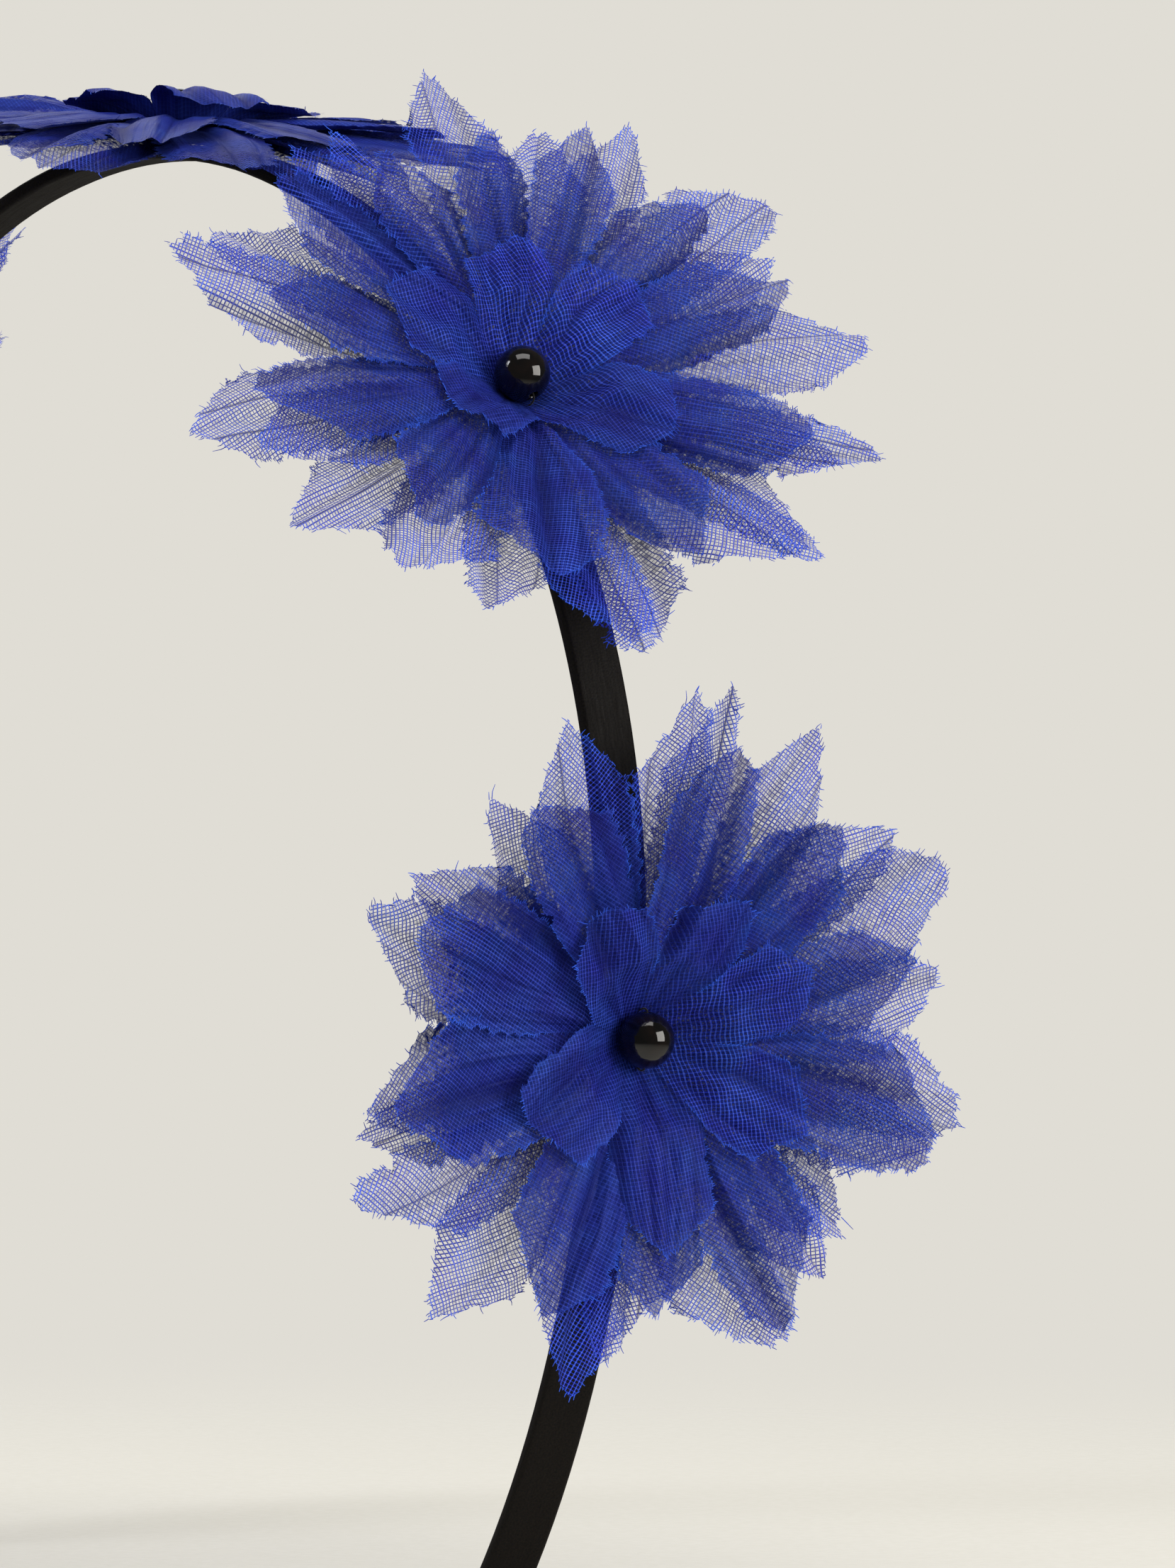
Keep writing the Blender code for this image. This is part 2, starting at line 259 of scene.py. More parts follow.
def addMesh(shape, name, material):
    mesh = bpy.data.meshes.new(name)
    shape.to_mesh(mesh)
    shape.free()
    mesh.materials.append(material)
    return addObject(name, mesh)


def layUv(verts, layer, places):
    for vert in verts:
        for loop in vert.link_loops:
            loop[layer].uv = places[vert]


def finishPiece(shape, name, material, nodes=()):
    for face in shape.faces:
        face.smooth = True
    piece = addMesh(shape, name, material)
    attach(piece, "root")
    if nodes:
        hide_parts(*nodes)
    return piece


# Organza: a plain weave of fine twisted polyester, dyed ultramarine. The gaps between the
# threads let the ground through, and two layers together glitter where their gaps meet.
# The real threads are 0.23 mm apart; they are drawn 0.4 mm apart so that they show
organza = {
    "pitch": 0.4,
    "threadShare": 0.28,
    # deep is the colour of the gaps, and also of the painted shade in folds, creases and pleats
    "deep": "#090E55",
    "warp": "#142491",
    # the weft is painted brighter than the warp as a sheen, and the crossings paler still as a painted
    # highlight
    "weftSheen": "#2C43BB",
    "crossingHighlight": "#5266CC",
    "worn": "#2850CC",
    "gathered": "#202E89",
}


def organzaMaterial():
    material, tree, shader = startMaterial(
        "ultramarineOrganza", Roughness=0.5, Specular_IOR_Level=0.3, Specular_Tint=linear("#8FA4FF"),
        Sheen_Weight=0.09, Sheen_Roughness=0.4, Sheen_Tint=linear("#7488FF"))
    place = addNode(tree, "ShaderNodeUVMap", uv_map="weave").outputs["UV"]
    apart = addNode(tree, "ShaderNodeSeparateXYZ", {"Vector": place})
    masks = []
    for axis, seed in (("X", 3.0), ("Y", 57.0)):
        cell = addNode(tree, "ShaderNodeMath", {0: apart.outputs[axis], 1: organza["pitch"]},
                       operation="DIVIDE").outputs[0]
        number = addNode(tree, "ShaderNodeMath", {0: cell}, operation="FLOOR").outputs[0]
        number = addNode(tree, "ShaderNodeMath", {0: number, 1: seed}, operation="ADD").outputs[0]
        luck = addNode(tree, "ShaderNodeTexWhiteNoise", {"W": number}, noise_dimensions="1D")
        centred = addNode(tree, "ShaderNodeMath", {0: cell, 1: 0.5}, operation="PINGPONG").outputs[0]
        half = organza["threadShare"] / 2
        # a thread is 0.7 to 1.35 of its usual width, with a soft edge
        edge = addNode(tree, "ShaderNodeMapRange", {
            "Value": luck.outputs["Value"], "To Min": 0.5 - half * 1.35, "To Max": 0.5 - half * 0.7,
        }).outputs["Result"]
        above = addNode(tree, "ShaderNodeMath", {0: centred, 1: edge}, operation="SUBTRACT").outputs[0]
        mask = addNode(tree, "ShaderNodeMapRange", {"Value": above, "From Min": -0.035, "From Max": 0.035})
        masks.append(mask.outputs["Result"])
    weave = addNode(tree, "ShaderNodeMath", {0: masks[0], 1: masks[1]}, operation="MAXIMUM").outputs[0]
    crossing = addNode(tree, "ShaderNodeMath", {0: masks[0], 1: masks[1]}, operation="MULTIPLY").outputs[0]
    dense, crease, worn, valley = [
        addNode(tree, "ShaderNodeAttribute", attribute_name=mark).outputs["Fac"]
        for mark in ("dense", "crease", "worn", "valley")]
    inFold = addNode(tree, "ShaderNodeMapRange", {"Value": valley, "To Max": 0.12}).outputs["Result"]
    # fine pleats run out from the middle, a millimetre or two apart
    spread = addNode(tree, "ShaderNodeUVMap", uv_map="pleats").outputs["UV"]
    spread = addNode(tree, "ShaderNodeMapping", {"Vector": spread, "Scale": (0.75, 0.055, 1.0)})
    pleat = addNode(tree, "ShaderNodeTexNoise", {
        "Vector": spread.outputs["Vector"], "Scale": 1.0, "Detail": 2.0, "Roughness": 0.6})
    pleat = addNode(tree, "ShaderNodeMapRange", {
        "Value": pleat.outputs["Fac"], "From Min": 0.47, "From Max": 0.66}).outputs["Result"]
    # threads slip closer together and further apart, which makes the cloth glitter
    clouds = addNode(tree, "ShaderNodeTexNoise", {"Vector": place, "Scale": 1.7, "Detail": 2.0})
    cloudy = addNode(tree, "ShaderNodeMapRange", {
        "Value": clouds.outputs["Fac"], "From Min": 0.36, "From Max": 0.64,
        "To Min": -0.24, "To Max": 0.24}).outputs["Result"]
    filled = addNode(tree, "ShaderNodeMath", {0: dense, 1: cloudy}, operation="ADD").outputs[0]
    filled = addNode(tree, "ShaderNodeMath", {0: filled, 1: inFold}, operation="ADD").outputs[0]
    filled = addNode(tree, "ShaderNodeMath", {0: filled, 1: crease}, operation="MAXIMUM").outputs[0]
    cover = addNode(tree, "ShaderNodeMath", {0: weave, 1: 0.94}, operation="MULTIPLY").outputs[0]
    cover = addNode(tree, "ShaderNodeMath", {0: cover, 1: filled}, operation="MAXIMUM", use_clamp=True)
    tree.links.new(cover.outputs[0], shader.inputs["Alpha"])
    # warp over the darker gaps; the weft is painted brighter as a sheen, and a painted highlight sits where
    # they cross
    tone = addNode(tree, "ShaderNodeMix", {
        "Factor": masks[1], "A": linear(organza["deep"]), "B": linear(organza["warp"])}, data_type="RGBA")
    for part, most, colour in ((masks[0], 0.85, "weftSheen"), (crossing, 0.55, "crossingHighlight"), (worn, 0.45, "worn")):
        share = addNode(tree, "ShaderNodeMapRange", {"Value": part, "To Max": most}).outputs["Result"]
        tone = addNode(tree, "ShaderNodeMix", {
            "Factor": share, "A": tone.outputs["Result"], "B": linear(organza[colour])}, data_type="RGBA")
    # where the cloth is gathered, its threads lie too close to be told apart
    packed = addNode(tree, "ShaderNodeMapRange", {
        "Value": dense, "From Min": 0.4, "From Max": 0.8, "To Max": 0.7}).outputs["Result"]
    tone = addNode(tree, "ShaderNodeMix", {
        "Factor": packed, "A": tone.outputs["Result"], "B": linear(organza["gathered"])}, data_type="RGBA")
    # painted shade: the tone darkens towards the deep colour in fold valleys, along creases and in the
    # pleats
    shadowed = addNode(tree, "ShaderNodeMath", {0: valley, 1: crease}, operation="MAXIMUM").outputs[0]
    pleated = addNode(tree, "ShaderNodeMapRange", {"Value": pleat, "To Max": 0.7}).outputs["Result"]
    shadowed = addNode(tree, "ShaderNodeMath", {0: shadowed, 1: pleated}, operation="MAXIMUM").outputs[0]
    share = addNode(tree, "ShaderNodeMapRange", {"Value": shadowed, "To Max": 0.72}).outputs["Result"]
    tone = addNode(tree, "ShaderNodeMix", {
        "Factor": share, "A": tone.outputs["Result"], "B": linear(organza["deep"])}, data_type="RGBA")
    # a single layer lets light through its threads, so it is paler
    glow = addNode(tree, "ShaderNodeMapRange", {
        "Value": dense, "From Min": 0.1, "From Max": 0.6, "To Min": 1.55}).outputs["Result"]
    dye = addNode(tree, "ShaderNodeTexNoise", {"Vector": place, "Scale": 0.16, "Detail": 2.0})
    strength = addNode(tree, "ShaderNodeMapRange", {
        "Value": dye.outputs["Fac"], "From Min": 0.3, "From Max": 0.7,
        "To Min": 0.84, "To Max": 1.18}).outputs["Result"]
    hue = addNode(tree, "ShaderNodeMapRange", {
        "Value": dye.outputs["Fac"], "From Min": 0.3, "From Max": 0.7,
        "To Min": 0.506, "To Max": 0.494}).outputs["Result"]
    value = addNode(tree, "ShaderNodeMath", {0: glow, 1: strength}, operation="MULTIPLY").outputs[0]
    shade = addNode(tree, "ShaderNodeHueSaturation", {
        "Color": tone.outputs["Result"], "Value": value, "Hue": hue})
    tree.links.new(shade.outputs["Color"], shader.inputs["Base Color"])
    bump = addNode(tree, "ShaderNodeBump", {
        "Height": pleat, "Strength": 0.6, "Distance": 0.00018}, invert=True)
    loose = addNode(tree, "ShaderNodeMath", {0: 1.0, 1: packed}, operation="SUBTRACT").outputs[0]
    relief = addNode(tree, "ShaderNodeMath", {0: weave, 1: loose}, operation="MULTIPLY").outputs[0]
    bump = addNode(tree, "ShaderNodeBump", {
        "Height": relief, "Strength": 0.8, "Distance": 0.0001, "Normal": bump.outputs["Normal"]})
    tree.links.new(bump.outputs["Normal"], shader.inputs["Normal"])
    return material


# Loose polyester filament at a cut edge, untwisted, so it catches more light than the cloth
def filamentMaterial():
    material, tree, shader = startMaterial(
        "frayedFilament", Roughness=0.45, Specular_IOR_Level=0.3, Specular_Tint=linear("#8FA6FF"),
        Sheen_Weight=0.12, Sheen_Tint=linear("#6F88FF"))
    place = addNode(tree, "ShaderNodeTexCoord").outputs["Object"]
    spots = addNode(tree, "ShaderNodeTexNoise", {"Vector": place, "Scale": 260.0, "Detail": 2.0})
    spotted = addNode(tree, "ShaderNodeMapRange", {
        "Value": spots.outputs["Fac"], "From Min": 0.35, "From Max": 0.65}).outputs["Result"]
    tone = addNode(tree, "ShaderNodeMix", {
        "Factor": spotted, "A": linear("#16268E"), "B": linear("#2C56D4")}, data_type="RGBA")
    tree.links.new(tone.outputs["Result"], shader.inputs["Base Color"])
    return material


def cutDisc(flower, layer):
    chart = flower["chart"]
    scale = flower["scale"]
    full = cloth["fullness"][layer]
    rows = sorted(
        ((angle + flower["turn"]) % 360, length * scale, width * scale * full, lean, angle)
        for angle, length, width, lean in chart[layer])
    order = cloth["layers"].index(layer)
    luck = random.Random(f"{flower['name']} {layer}")
    disc = {
        "name": f"{flower['name']}_{layer}",
        "flower": flower,
        "layer": layer,
        "order": order,
        "slope": math.tan(math.radians(cloth["slopes"][layer] * flower["cup"])),
        "hub": cloth["hole"] + cloth["hubShare"] * max(row[1] for row in rows),
        "pleats": luck.choice([15, 17, 19]),
        "phase": luck.uniform(0, 6.28),
        "seed": luck.uniform(10, 90),
        "weave": math.radians(cloth["weaveTurns"][layer] + flower["turn"] + luck.uniform(-6, 6)),
        "petals": [],
    }
    for index, (angle, length, width, lean, marked) in enumerate(rows):
        before = rows[index - 1][0] - (360 if index == 0 else 0)
        after = rows[(index + 1) % len(rows)][0] + (360 if index == len(rows) - 1 else 0)
        known = chart["creases"].get((layer, marked))
        places = known or [luck.uniform(-0.75, 0.75) for number in range(luck.choice([1, 2, 2, 3]))]
        creases = []
        for place in sorted(places):
            if not creases or place - creases[-1]["place"] > 0.22:
                creases.append({
                    "place": place,
                    "depth": luck.choice([-1, 1]) * luck.uniform(0.35, 0.6),
                    "strength": luck.uniform(0.85, 1.0) if known else luck.uniform(0.45, 0.9),
                    "from": luck.uniform(0.0, 0.25),
                })
        disc["petals"].append({
            "angle": angle,
            "length": length,
            "width": width,
            "lean": lean,
            "first": (angle + before) / 2,
            "last": (angle + after) / 2,
            "creases": creases,
            "point": chart["points"].get((layer, marked), luck.uniform(0.1, 0.85)),
            "peak": luck.uniform(-0.6, 0.1),
            "turned": chart["turnedEdges"].get((layer, marked), 0),
            "phases": (luck.uniform(0, 6.28), luck.uniform(0, 6.28)),
            "lift": luck.uniform(-0.9, 0.9),
            "curl": (luck.uniform(-0.8, 0.8), luck.uniform(-0.8, 0.8)),
            "seed": luck.uniform(0, 50),
            "body": chart["sheer"].get((layer, marked), luck.uniform(0.8, 1.08)),
            "tilt": luck.choice([-1, 1, 1]) * luck.uniform(0.4, 1.2),
        })
    return disc


def tooth(distance, seed):
    # zigzag of the pinking shears, from 0 at a point to 1 in a notch, with steps where it frays
    wave = abs((distance / cloth["toothPitch"] + seed) % 1.0 * 2 - 1)
    ragged = noise.noise((distance * 0.33, seed, 1.7)) + 0.6 * noise.noise((distance * 0.9, seed, 5.2))
    return wave * (0.5 + 0.3 * ragged) + 0.9 * abs(ragged)


def petalEnd(petal, across):
    # how far out the petal's end stands at a place across it, as a share of its length
    side = -across if petal["lean"] > 0 else across
    away = abs(side - petal["peak"]) / (1 + abs(petal["peak"]))
    end = 1 - cloth["endFall"] * away ** 1.5
    sharp = min(1.0, away / 0.8)
    return end - petal["point"] * 0.10 * sharp + petal["point"] * 0.012


def halfWidth(petal, across, share):
    # the petals touch along the cuts between them, out to where their sides turn parallel
    toSide = petal["angle"] - petal["first"] if across < 0 else petal["last"] - petal["angle"]
    touching = cloth["overlap"] * share * petal["length"] * math.tan(math.radians(toSide))
    narrowing = 1 - (1 - cloth["endNarrowing"]) * smooth(share, cloth["widest"] + 0.04, 0.93)
    full = petal["width"] / 2 * narrowing
    return (touching ** -5 + full ** -5) ** -0.2


def flatPoint(disc, petal, across, along):
    # a place in the flat cut: along is -1 at the pinched middle, 0 at the hub and 1 at the end
    fan = math.radians(petal["first"] + (petal["last"] - petal["first"]) * (across + 1) / 2)
    if along <= 0:
        radius = cloth["rim"] + (disc["hub"] - cloth["rim"]) * (1 + along)
        return radius * math.cos(fan), radius * math.sin(fan)
    length = petal["length"]
    start = disc["hub"] / length
    share = start + (petalEnd(petal, across) - start) * along
    wide = halfWidth(petal, across, share)
    deep = cloth["toothDepth"][disc["layer"]]
    edge = smooth(abs(across), 0.7, 1.0) * smooth(along, 0.1, 0.5)
    side = across * wide
    side += math.copysign(edge, across) * deep * (
        0.35 - tooth(share * length, petal["seed"] + math.copysign(3.0, across)))
    share -= deep / length * tooth(across * wide, petal["seed"]) * smooth(along, 0.88, 1.0)
    axis = math.radians(petal["angle"] + petal["lean"] * share * share)
    reach = length * share
    keep = smooth(along, 0.0, 0.4)
    x = reach * math.cos(axis) - side * math.sin(axis)
    y = reach * math.sin(axis) + side * math.cos(axis)
    return (x * keep + reach * math.cos(fan) * (1 - keep),
            y * keep + reach * math.sin(fan) * (1 - keep))


def foldHeight(disc, petal, across, along, turn):
    # pleats run out of the gathered middle and turn into each petal's own folds
    pleat = folds["pleat"] * math.sin(turn * disc["pleats"] + disc["phase"])
    if along <= 0:
        return pleat
    keep = smooth(along, 0.0, 0.4)
    first, second = petal["phases"]
    fold = folds["wide"] * math.sin(across * 3.4 + first + along * 0.9)
    fold += folds["middling"] * math.sin(across * 6.3 + second - along * 1.2)
    fold += folds["narrow"] * math.sin(across * 11.5 + first * 2 + along * 0.6)
    fold += folds["tilt"] * petal["tilt"] * across
    return pleat * (1 - keep) + fold * keep * (1 - 0.3 * along)


def clothHeight(disc, petal, across, along, x, y):
    flower = disc["flower"]
    radius = math.hypot(x, y)
    turn = math.atan2(y, x)
    sway = flower["sway"] * math.cos(turn - math.radians(flower["swayAngle"]))
    high = cloth["lift"] + disc["order"] * cloth["spacing"] * flower["packed"] + radius * disc["slope"]
    high -= (flower["hang"] + sway) * (radius / cloth["hangReach"]) ** 2
    # towards its own front a flower may fall over the band's edge
    facing = math.cos(turn - math.radians(cloth["front"]))
    high -= flower["droop"] * smooth(facing, 0.3, 1.0) * (max(0.0, radius - 8.0) / 30.0) ** 1.4
    low = band["thickness"] / 2 + 0.08 + 0.05 * disc["order"]
    rising = min(max((radius - cloth["rim"]) / (9.0 - cloth["rim"]), 0.0), 1.0) ** 0.8
    height = low + (high - low) * rising
    # the discs ruffle together, and the innermost may stand up round the bead
    height += flower["ruffle"] * smooth(radius, 8.0, 26.0) * (
        math.sin(7 * turn + 1.3 + radius * 0.05) * 0.6 + math.sin(12 * turn + radius * 0.09) * 0.4)
    if disc["layer"] == "inner":
        standing = flower["bowl"] * smooth(radius, 3.4, 7.5) * (1 - 0.6 * smooth(radius, 10.0, 17.0))
        height += standing * (smooth(facing, -0.3, 0.8) - 0.6 * smooth(-facing, -0.1, 0.6))
    free = smooth(radius, 2.0, 9.0) * flower["lively"]
    height += free * foldHeight(disc, petal, across, along, turn)
    if along <= 0:
        return height
    keep = smooth(along, 0.0, 0.4)
    for crease in petal["creases"]:
        away = abs(across - crease["place"]) * petal["width"] / 2
        height += free * keep * crease["depth"] * max(0.0, 1 - away / folds["creaseWidth"])
    height += flower["lively"] * petal["lift"] * along ** 3
    curl = petal["curl"][0] if across < 0 else petal["curl"][1]
    height += free * curl * abs(across) ** 3 * keep
    if petal["turned"] and across * petal["turned"] > 0:
        height += free * folds["turnedEdge"] * smooth(abs(across), 0.55, 1.0) * keep
    crumple = folds["crumple"] * noise.noise((x * 0.26, y * 0.26, disc["seed"]))
    crumple += folds["fineCrumple"] * noise.noise((x * 0.75, y * 0.75, disc["seed"] + 7))
    return height + crumple * keep * free


def surfacePoint(disc, petal, across, along):
    x, y = flatPoint(disc, petal, across, along)
    return Vector((x, y, clothHeight(disc, petal, across, along, x, y)))


def petalColumns(petal):
    columns = [2 * step / (cloth["columns"] - 1) - 1 for step in range(cloth["columns"])]
    near = 0.55 / petal["width"]
    for crease in petal["creases"]:
        place = crease["place"]
        columns = [column for column in columns if abs(column) == 1 or abs(column - place) > near * 1.4]
        columns += [place - near, place, place + near]
    return sorted(columns)


def weavePlace(disc, petal, along, x, y):
    # the cut's own thread directions, a little out of true where the cloth is handled
    keep = smooth(along, 0.0, 0.4)
    pull = 0.5 * keep
    x += pull * noise.noise((x * 0.11, y * 0.11, disc["seed"] + petal["seed"]))
    y += pull * noise.noise((x * 0.11, y * 0.11, disc["seed"] + petal["seed"] + 20))
    turn = disc["weave"]
    return (x * math.cos(turn) + y * math.sin(turn), y * math.cos(turn) - x * math.sin(turn))


def makeDisc(disc, material):
    shape = bmesh.new()
    dense, crease, worn, valley = [
        shape.verts.layers.float.new(mark) for mark in ("dense", "crease", "worn", "valley")]
    threads = shape.loops.layers.uv.new("weave")
    pleats = shape.loops.layers.uv.new("pleats")
    heights = {}
    hubVerts = []
    low, high = [1e9, 1e9], [-1e9, -1e9]
    for petal in disc["petals"]:
        columns = petalColumns(petal)
        inside = max(5, round((disc["hub"] - cloth["rim"]) / 0.8))
        outside = round((petal["length"] - disc["hub"]) / cloth["rowSpacing"])
        rows = [step / inside - 1 for step in range(inside)]
        rows += [step / outside for step in range(outside + 1)]
        across = len(columns) - 1
        up = len(rows) - 1
        grid = bmesh.ops.create_grid(shape, x_segments=across, y_segments=up, size=1.0)["verts"]
        places = {}
        alongFolds = {}
        for vert in grid:
            column = columns[round((vert.co.x + 1) / 2 * across)]
            row = rows[round((vert.co.y + 1) / 2 * up)]
            x, y = flatPoint(disc, petal, column, row)
            places[vert] = weavePlace(disc, petal, row, x, y)
            alongFolds[vert] = (petal["angle"] + column * petal["width"] / 2, math.hypot(x, y))
            heights[vert] = clothHeight(disc, petal, column, row, x, y)
            vert.co = (x, y, 0.0)
            low = [min(low[0], x), min(low[1], y)]
            high = [max(high[0], x), max(high[1], y)]
            radius = math.hypot(x, y)
            loose = smooth(radius, cloth["gatheredTo"], cloth["looseFrom"])
            filled = cloth["haze"][disc["layer"]] * loose + cloth["gather"][disc["layer"]] * (1 - loose)
            filled = filled * petal["body"] + disc["flower"]["fuller"]
            if disc["layer"] == "inner":
                filled += disc["flower"]["fuller"]
            vert[dense] = min(filled, cloth["densest"])
            # where a fold dips, the gaps fill a little and the tone gets painted shade
            fold = foldHeight(disc, petal, column, row, math.atan2(y, x))
            vert[valley] = smooth(-fold, 0.1, 0.62) * smooth(radius, 2.5, 7.0)
            if petal["turned"] and column * petal["turned"] > 0.6:
                vert[dense] += 0.16 * smooth(row, 0.1, 0.3)
            # along a crease the gaps are filled and the tone gets painted shade
            for mark in petal["creases"]:
                if column == mark["place"]:
                    vert[crease] = mark["strength"] * smooth(row, mark["from"], mark["from"] + 0.3)
            vert[worn] = max(smooth(abs(column), 0.88, 1.0) * smooth(row, 0.0, 0.1), smooth(row, 0.97, 1.0))
            if row <= 0:
                hubVerts.append(vert)
        layUv(grid, threads, places)
        layUv(grid, pleats, alongFolds)
    area = sum(face.calc_area() for face in shape.faces)
    for vert, height in heights.items():
        vert.co.z = height
    bmesh.ops.remove_doubles(shape, verts=hubVerts, dist=0.002)
    shape.transform(flowerFrame(disc["flower"]))
    name = f"{disc['name']}_organza"
    node = f"{disc['flower']['name']}_petals_{disc['layer']}"
    piece = finishPiece(shape, name, material, [node])
    disc["flat"] = ((high[0] - low[0]) * mm, (high[1] - low[1]) * mm)
    disc["area"] = area * mm * mm
    return piece


fraying = {"pitch": 0.36, "width": 0.10, "short": 0.2, "long": 0.75}


def looseThread(disc, petal, across, along, luck, length):
    # one loose end: it follows the thread direction that points most nearly out of the edge
    root = surfacePoint(disc, petal, across, along)
    inner = surfacePoint(disc, petal, across * 0.9, along - 0.03)
    outward = (root - inner).to_2d()
    if outward.length < 1e-6:
        return None
    outward.normalize()
    ways = [Vector((math.cos(disc["weave"] + quarter), math.sin(disc["weave"] + quarter)))
            for quarter in (0, math.pi / 2, math.pi, -math.pi / 2)]
    way = max(ways, key=outward.dot)
    way.rotate(Matrix.Rotation(luck.gauss(0, 0.16), 2))
    slope = (root.z - inner.z) / max((root - inner).to_2d().length, 0.3)
    rise = max(-0.5, min(0.5, slope * way.dot(outward) * 0.6)) + luck.gauss(0, 0.18)
    step = Vector((way.x, way.y, rise)) * length / 2
    side = Vector((-way.y, way.x, 0.0)) * fraying["width"] / 2
    bend = Vector((luck.gauss(0, 0.12), luck.gauss(0, 0.12), luck.gauss(0, 0.1))) * length
    start = root - step.normalized() * 0.12
    return [(start, side), (start + step, side * 0.95), (start + step * 2 + bend, side * 0.6)]


def makeFringe(disc, material):
    luck = random.Random(f"fraying {disc['name']}")
    threads = []
    for petal in disc["petals"]:
        sideSteps = round((petal["length"] - disc["hub"]) / fraying["pitch"])
        endSteps = round(petal["width"] * 0.8 / fraying["pitch"])
        edge = [(side, step / sideSteps) for side in (-1, 1) for step in range(1, sideSteps)]
        edge += [(2 * step / endSteps - 1, 1.0) for step in range(endSteps + 1)]
        for across, along in edge:
            length = luck.uniform(fraying["short"], fraying["long"])
            length *= 1.0 if along == 1.0 else 0.45 + 0.4 * along
            if luck.random() < 0.03:
                length *= 2.2
            threads.append(looseThread(disc, petal, across, along, luck, length))
    threads = [thread for thread in threads if thread]
    shape = bmesh.new()
    # one long strip, three rows to a thread, cut apart between the threads
    verts = bmesh.ops.create_grid(
        shape, x_segments=1, y_segments=3 * len(threads) - 1, size=1.0)["verts"]
    last = 3 * len(threads) - 1
    spare = set()
    for vert in verts:
        row = round((vert.co.y + 1) / 2 * last)
        place, side = threads[row // 3][row % 3]
        vert.index = row
        vert.co = place + side * (1 if vert.co.x > 0 else -1)
    for face in shape.faces:
        rows = {vert.index // 3 for vert in face.verts}
        if len(rows) > 1:
            spare.add(face)
    bmesh.ops.delete(shape, geom=list(spare), context="FACES_ONLY")
    bmesh.ops.delete(shape, geom=[edge for edge in shape.edges if not edge.link_faces], context="EDGES")
    shape.transform(flowerFrame(disc["flower"]))
    return finishPiece(shape, f"{disc['name']}_fringe", material)


organzaFinish = organzaMaterial()
filamentFinish = filamentMaterial()
triangles = 0
for flower in flowers:
    for layer in cloth["layers"]:
        disc = cutDisc(flower, layer)
        sheet = makeDisc(disc, organzaFinish)
        fringe = makeFringe(disc, filamentFinish)
        triangles += 2 * (len(sheet.data.polygons) + len(fringe.data.polygons))
    print("flower sewn:", flower["name"], triangles, "triangles so far")


# Satin ribbon: black polyester with long floats, so it is smooth with a low broad shine, a
# little brown in the light, and holds a few specks of lint
def satinMaterial():
    material, tree, shader = startMaterial(
        "blackSatinRibbon", Specular_IOR_Level=0.12, Sheen_Weight=0.05, Sheen_Roughness=0.45,
        Sheen_Tint=linear("#8A7B68"), Anisotropic=0.3)
    place = addNode(tree, "ShaderNodeUVMap", uv_map="ribbon").outputs["UV"]
    # threads 0.12 mm apart, drawn 0.3 mm apart so that they show
    long = addNode(tree, "ShaderNodeMapping", {"Vector": place, "Scale": (0.35, 3.3, 1.0)})
    floats = addNode(tree, "ShaderNodeTexNoise", {
        "Vector": long.outputs["Vector"], "Scale": 1.0, "Detail": 3.0, "Roughness": 0.6})
    grain = addNode(tree, "ShaderNodeTexNoise", {"Vector": place, "Scale": 4.5, "Detail": 2.0})
    lint = addNode(tree, "ShaderNodeTexVoronoi", {"Vector": place, "Scale": 0.75, "Randomness": 1.0})
    speck = addNode(tree, "ShaderNodeMapRange", {
        "Value": lint.outputs["Distance"], "From Min": 0.10, "From Max": 0.06}).outputs["Result"]
    # one cell in about ten holds a speck
    chance = addNode(tree, "ShaderNodeSeparateColor", {"Color": lint.outputs["Color"]}).outputs["Red"]
    rare = addNode(tree, "ShaderNodeMapRange", {
        "Value": chance, "From Min": 0.90, "From Max": 0.93}).outputs["Result"]
    speck = addNode(tree, "ShaderNodeMath", {0: speck, 1: rare}, operation="MULTIPLY").outputs[0]
    brown = addNode(tree, "ShaderNodeMapRange", {
        "Value": grain.outputs["Fac"], "From Min": 0.3, "From Max": 0.75}).outputs["Result"]
    tone = addNode(tree, "ShaderNodeMix", {
        "Factor": brown, "A": linear("#040303"), "B": linear("#16110D")}, data_type="RGBA")
    pale = addNode(tree, "ShaderNodeMapRange", {"Value": speck, "To Max": 0.5}).outputs["Result"]
    tone = addNode(tree, "ShaderNodeMix", {
        "Factor": pale, "A": tone.outputs["Result"], "B": linear("#6A655C")}, data_type="RGBA")
    tree.links.new(tone.outputs["Result"], shader.inputs["Base Color"])
    shine = addNode(tree, "ShaderNodeMapRange", {
        "Value": floats.outputs["Fac"], "From Min": 0.3, "From Max": 0.7, "To Min": 0.5, "To Max": 0.66})
    tree.links.new(shine.outputs["Result"], shader.inputs["Roughness"])
    bump = addNode(tree, "ShaderNodeBump", {
        "Height": floats.outputs["Fac"], "Strength": 0.35, "Distance": 0.00006})
    bump = addNode(tree, "ShaderNodeBump", {
        "Height": grain.outputs["Fac"], "Strength": 0.6, "Distance": 0.00006,
        "Normal": bump.outputs["Normal"]})
    tree.links.new(bump.outputs["Normal"], shader.inputs["Normal"])
    return material


